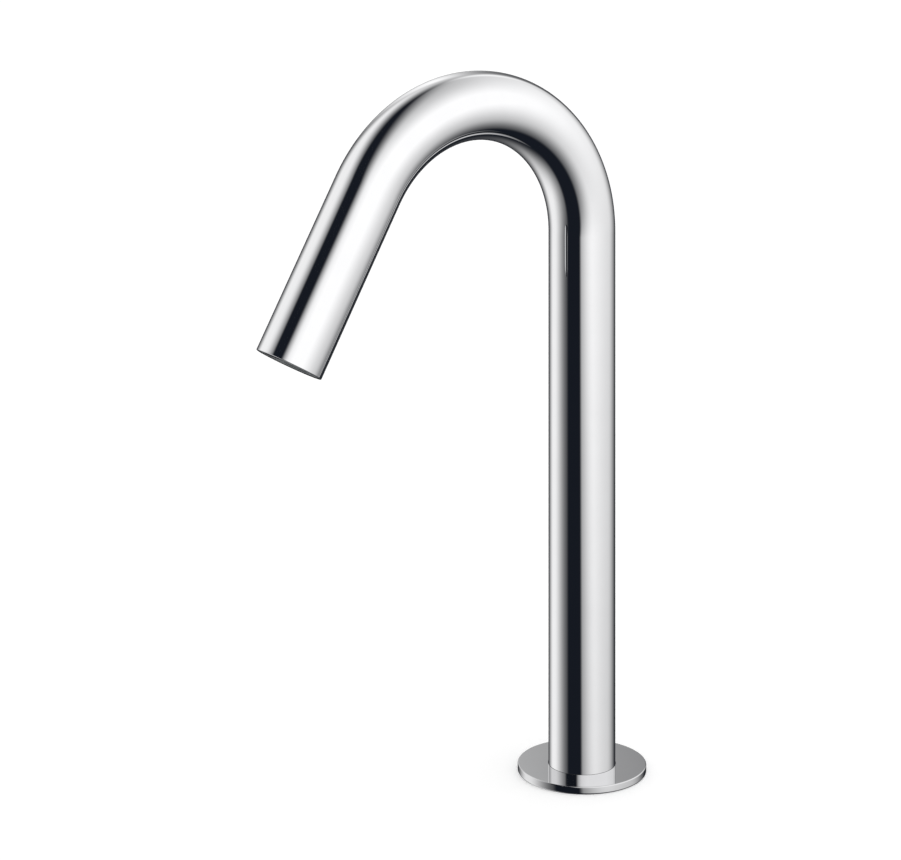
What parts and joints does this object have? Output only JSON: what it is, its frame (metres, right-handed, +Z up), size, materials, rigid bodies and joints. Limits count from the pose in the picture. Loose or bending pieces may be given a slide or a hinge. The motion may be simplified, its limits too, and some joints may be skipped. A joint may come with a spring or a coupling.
{
  "type": "sensor tap",
  "caption": "Deck-mounted touch-free basin tap: slim gooseneck spout on a round flange, with an aerator and infrared sensor side by side in the outlet, and a threaded shank with lock nut.",
  "frame": {"origin": "centre of the column on the deck surface, which is the flange's underside", "axes": "+Z up out of the deck along the column; the spout reaches towards -Y, over the basin; X = 0 is the plane of symmetry"},
  "size_m": [0.0615, 0.2101, 0.419],
  "materials": {
    "polished_chrome": "mirror-polished chrome plate on brass",
    "turned_brass": "turned, unplated",
    "zinc_plated_steel": "pressed and zinc plated",
    "stainless_steel": "drawn, plain",
    "black_rubber": "moulded, matt",
    "grey_nozzle_plastic": "moulded, fine matt",
    "black_plastic": "moulded, satin",
    "white_plastic": "moulded, natural",
    "pipe_plastic": "extruded, milky",
    "black_sheath": "extruded, matt",
    "sensor_window": "infrared-passing, glossy",
    "circuit_board": "solder resist on glass laminate",
    "diode_epoxy": "cast epoxy",
    "gilt_contacts": "gold flash"
  },
  "bodies": {
    "spout": {"spout_tube": "polished_chrome", "base_flange": "polished_chrome", "flange_gasket": "black_rubber", "shank": "turned_brass", "shank_o_ring": "black_rubber", "nozzle_body": "grey_nozzle_plastic", "nozzle_o_ring": "black_rubber", "nozzle_stop_ring": "turned_brass", "nozzle_screws": "stainless_steel", "sensor_case": "black_plastic", "sensor_window": "sensor_window", "sensor_board": "circuit_board", "board_chip": "black_plastic", "emitter_diode": "diode_epoxy", "receiver_diode": "diode_epoxy", "lead_grommet": "black_rubber", "sensor_lead": "black_sheath", "lead_clips": "white_plastic", "water_pipe": "pipe_plastic", "crimp_sleeves": "stainless_steel", "foot_cap": "white_plastic", "inlet_nipple": "turned_brass", "inlet_nut": "turned_brass", "lead_socket": "black_plastic", "socket_contacts": "gilt_contacts"},
    "clamp_rings": {"clamp_gasket": "black_rubber", "clamp_washer": "zinc_plated_steel"},
    "lock_nut": {"lock_nut": "turned_brass"},
    "aerator_seal": {"aerator_seal": "black_rubber"},
    "aerator": {"aerator_housing": "grey_nozzle_plastic", "aerator_grid": "black_plastic", "flow_regulator": "white_plastic", "aerator_screen": "stainless_steel"}
  },
  "joints": [
    {"name": "clamp_slide", "type": "slide", "parent": "spout", "child": "clamp_rings", "axis": [0, 0, 1], "range_m": [-0.0235, 0.0155]},
    {"name": "nut_turn", "type": "hinge", "parent": "clamp_rings", "child": "lock_nut", "pos_m": [0, 0, -0.0295], "axis": [0, 0, 1], "range_deg": [-5600, 3700]},
    {"name": "aerator_slide", "type": "slide", "parent": "spout", "child": "aerator_seal", "axis": [0, -0.5, -0.866], "range_m": [0, 0.006]},
    {"name": "aerator_turn", "type": "hinge", "parent": "aerator_seal", "child": "aerator", "pos_m": [0, -0.16172, 0.21511], "axis": [0, -0.5, -0.866], "range_deg": [0, 2165]}
  ],
  "couplings": [
    {"joint": "clamp_slide", "follows": "nut_turn", "m_per_rad": 0.00023873},
    {"joint": "aerator_turn", "follows": "aerator_slide", "rad_per_m": 6283.2}
  ]
}
